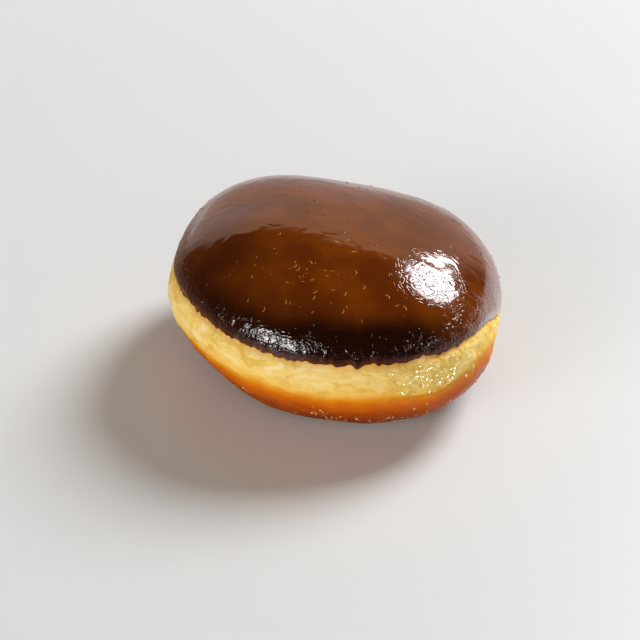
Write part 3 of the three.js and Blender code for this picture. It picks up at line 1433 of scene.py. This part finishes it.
@dataclass(frozen=True)
class Studio:
    """A pale floor, a warm backdrop that shows in the gloss, soft lights and the camera."""

    aim: Vector = Vector((-4.5 * MM, 1.0 * MM, 11.1 * MM))
    camera_distance: float = 423.6 * MM
    camera_elevation: float = 31.46
    camera_roll: float = 0.986
    lens: float = 85.06
    lights_aim: Vector = Vector((0, 0, 20 * MM))
    cool: tuple[float, float, float] = (0.95, 0.98, 1.0)
    warm: tuple[float, float, float] = (1.0, 0.83, 0.66)
    pale: float = 0.86
    ambient: Paint = (0.12, 0.1008, 0.084, 1.0)
    unlit: Paint = (0.03, 0.028, 0.026, 1.0)
    backdrop_low: Paint = (0.70, 0.64, 0.60, 1.0)
    backdrop_high: Paint = (1.0, 0.72, 0.48, 1.0)
    backdrop_warming: Span = (0.25, 0.6)
    backdrop_top: float = 37.0
    backdrop_blur: float = 0.012
    backdrop_tilt: float = 0.24
    backdrop_narrowing: float = 0.9
    backdrop_side: Span = (0.08, 0.32)
    floor_half: float = 6.0
    floor_drop: float = 0.02 * MM
    floor_colours: tuple[str, str] = ("d9dadb", "dcddde")
    floor_roughness: float = 0.38
    floor_specular: float = 0.5
    floor_fade: Span = (0.22, 0.9)
    shade_colour: str = "8f7464"
    shade_span: Span = (-30 * MM, 40 * MM)
    shade_lean: float = 0.6
    shade_dimming: float = 0.55

    def _camera(self) -> None:
        """Adds the camera, aimed a little behind and above the doughnut's foot."""
        lens = bpy.data.cameras.new("camera")
        lens.lens = self.lens
        lens.sensor_width = 36.0
        lens.clip_start = 0.01
        camera = bpy.data.objects.new("camera", lens)
        bpy.context.scene.collection.objects.link(camera)
        towards = direction(180, self.camera_elevation)
        turn = towards.to_track_quat("Z", "Y").to_matrix()
        roll = Matrix.Rotation(math.radians(self.camera_roll), 3, "Z")
        place = Matrix.Translation(self.aim + self.camera_distance * towards)
        camera.matrix_world = place @ (turn @ roll).to_4x4()
        bpy.context.scene.camera = camera

    def _floor_finish(self) -> bpy.types.Material:
        """Builds the floor's finish. It fades into the backdrop; in gloss it is shaded away from the key.

        Returns:
            The material.
        """
        sheet = FinishSheet("pale_floor_finish")
        place = sheet.place()
        plain, cloudy = (paint(code) for code in self.floor_colours)
        colour = sheet.blend(sheet.noise(place, 0.4, 2), plain, cloudy)
        across, back, _ = sheet.add("SeparateXYZ", {0: place}).outputs
        towards_key = sheet.math("MULTIPLY_ADD", back, self.shade_lean, across)
        away_from_key = sheet.remap(towards_key, self.shade_span, (1, 0))
        shade = sheet.math("MULTIPLY", sheet.add("LightPath").outputs["Is Glossy Ray"], away_from_key)
        colour = sheet.blend(shade, colour, paint(self.shade_colour))
        reach = sheet.add("VectorMath", {0: place}, operation="LENGTH").outputs["Value"]
        far = sheet.remap(reach, self.floor_fade)
        glow = sheet.math("MULTIPLY_ADD", shade, -self.shade_dimming, self.pale)
        sheet.set(
            base_color=sheet.blend(far, colour, paint("000000")),
            roughness=self.floor_roughness,
            specular_ior_level=sheet.math("MULTIPLY_ADD", far, -self.floor_specular, self.floor_specular),
            emission_color=(1.0, 1.0, 1.0, 1.0),
            emission_strength=sheet.math("MULTIPLY", far, glow),
        )
        return sheet.material

    def _floor(self) -> bpy.types.Object:
        """Adds the pale floor just below the doughnut's foot.

        Returns:
            The floor.
        """
        half = self.floor_half
        mesh = bpy.data.meshes.new("floor")
        corners = [(-half, -half, 0), (half, -half, 0), (half, half, 0), (-half, half, 0)]
        mesh.from_pydata(corners, [], [(0, 1, 2, 3)])
        floor = add_object("floor", mesh)
        floor.location.z = -self.floor_drop
        mesh.materials.append(self._floor_finish())
        return floor

    def _world(self) -> None:
        """Lights the room evenly, hangs a warm backdrop for the gloss, and shows the camera a pale one."""
        world = bpy.data.worlds.new("studio")
        bpy.context.scene.world = world
        world.use_nodes = True
        world.node_tree.nodes.clear()
        sheet = ShaderSheet(world.node_tree)
        across, back, up = sheet.add("SeparateXYZ", {0: sheet.add("TexCoord").outputs["Generated"]}).outputs
        top = math.sin(math.radians(self.backdrop_top))
        top_edge = (top - self.backdrop_blur, top + self.backdrop_blur)
        under = sheet.remap(sheet.math("MULTIPLY_ADD", across, -self.backdrop_tilt, up), top_edge, (1, 0))
        aside = sheet.math("ABSOLUTE", across)
        inwards = sheet.math("MULTIPLY_ADD", aside, -self.backdrop_narrowing, back)
        share = sheet.math("MULTIPLY", under, sheet.remap(inwards, self.backdrop_side))
        backdrop = sheet.blend(sheet.remap(up, self.backdrop_warming), self.backdrop_low, self.backdrop_high)
        gloss = sheet.blend(share, self.unlit, backdrop)
        ray = sheet.add("LightPath").outputs
        seen = sheet.blend(ray["Is Glossy Ray"], self.ambient, gloss)
        seen = sheet.blend(ray["Is Camera Ray"], seen, (self.pale, self.pale, self.pale, 1.0))
        background = sheet.add("Background", {"Color": seen})
        sheet.add("OutputWorld", {"Surface": background.outputs[0]})

    def build(self, dough: list[bpy.types.Object], icing: list[bpy.types.Object]) -> None:
        """Builds the studio.

        Args:
            dough: The dough's pieces, which the front fill brightens along with the floor.
            icing: The icing's pieces.
        """
        self._camera()
        self._world()
        floor = self._floor()
        lit: dict[Softbox, list[bpy.types.Object] | None] = {
            Softbox("key", 43.5, 37, 26, 26, radiance=25, colour=self.cool): None,
            Softbox("left_window", -134, 26, 38, 18, radiance=22, lights_matt=False): None,
            Softbox("left_fill", -136, 17, 34, 12, radiance=13.6, shows_in_gloss=False): None,
            Softbox("front_fill", 180, 30, 60, 40, 1.34, colour=self.warm, shows_in_gloss=False): [
                floor,
                *dough,
            ],
            Softbox("right_lamp", 129, 7, 27, 16, radiance=95, lights_matt=False): dough,
            Softbox("icing_glints", 116, 27, 18, 5, radiance=14, lights_matt=False): icing,
        }
        for softbox, pieces in lit.items():
            softbox.build(self.lights_aim, pieces)
        scene = bpy.context.scene
        scene.view_settings.view_transform = "Standard"
        scene.view_settings.look = "None"


# ---------------------------------------------------------------------------------------------
# Assembly
# ---------------------------------------------------------------------------------------------


def register(piece: bpy.types.Object, slot: Slot, *nodes: str) -> None:
    """Puts a finished piece on the frame.

    Args:
        piece: The piece.
        slot: The record's slot for the piece's finish; not used.
        nodes: The CAD nodes that it stands for.
    """
    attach(piece, BODY)
    if nodes:
        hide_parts(*nodes)
    LOG.info("%s: %d faces", piece.name, len(piece.data.polygons))


def main() -> None:
    """Builds the doughnut and its studio."""
    logging.basicConfig(level=logging.INFO, format="%(name)s: %(message)s")
    form = DoughnutForm()
    edge = IcingEdge()

    dough = Dough(form, edge).build()
    register(dough, Slot.DOUGH, "dough")
    icing = ChocolateIcing(form, edge).build()
    register(icing, Slot.ICING, "chocolate_icing")

    pieces = {Slot.DOUGH: [dough], Slot.ICING: [icing]}
    for scatter in (
        Scatter(
            "crust_blisters",
            Grain.DOME,
            Trait.BLISTER,
            BLISTER_AND_HIGHLIGHT_FINISH.material(),
            per_square_metre=600_000,
            spacing=0.8 * MM,
            smallest=0.1 * MM,
            largest=0.46 * MM,
            flatness=0.42,
            seed=7,
        ),
        Scatter(
            "oil_beads",
            Grain.DOME,
            Trait.OIL,
            OIL_FINISH.material(),
            per_square_metre=600_000,
            spacing=1.0 * MM,
            smallest=0.12 * MM,
            largest=0.8 * MM,
            flatness=0.24,
            seed=5,
        ),
        Scatter(
            "icing_bubbles",
            Grain.DOME,
            Trait.BUBBLE,
            icing.data.materials[0],
            per_square_metre=130_000,
            spacing=1.2 * MM,
            smallest=0.08 * MM,
            largest=0.34 * MM,
            flatness=0.6,
            seed=19,
        ),
        Scatter(
            "burst_bubble_rims",
            Grain.RIM,
            Trait.GLINT,
            GoldenGlintFinish().material(),
            per_square_metre=200_000,
            spacing=1.4 * MM,
            smallest=0.25 * MM,
            largest=0.85 * MM,
            flatness=1.0,
            seed=3,
        ),
    ):
        slot = Slot.DOUGH if scatter.room in (Trait.BLISTER, Trait.OIL) else Slot.ICING
        grains = scatter.build(pieces[slot][0])
        register(grains, slot)
        pieces[slot].append(grains)

    Studio().build(pieces[Slot.DOUGH], pieces[Slot.ICING])


if __name__ == "__main__":
    main()
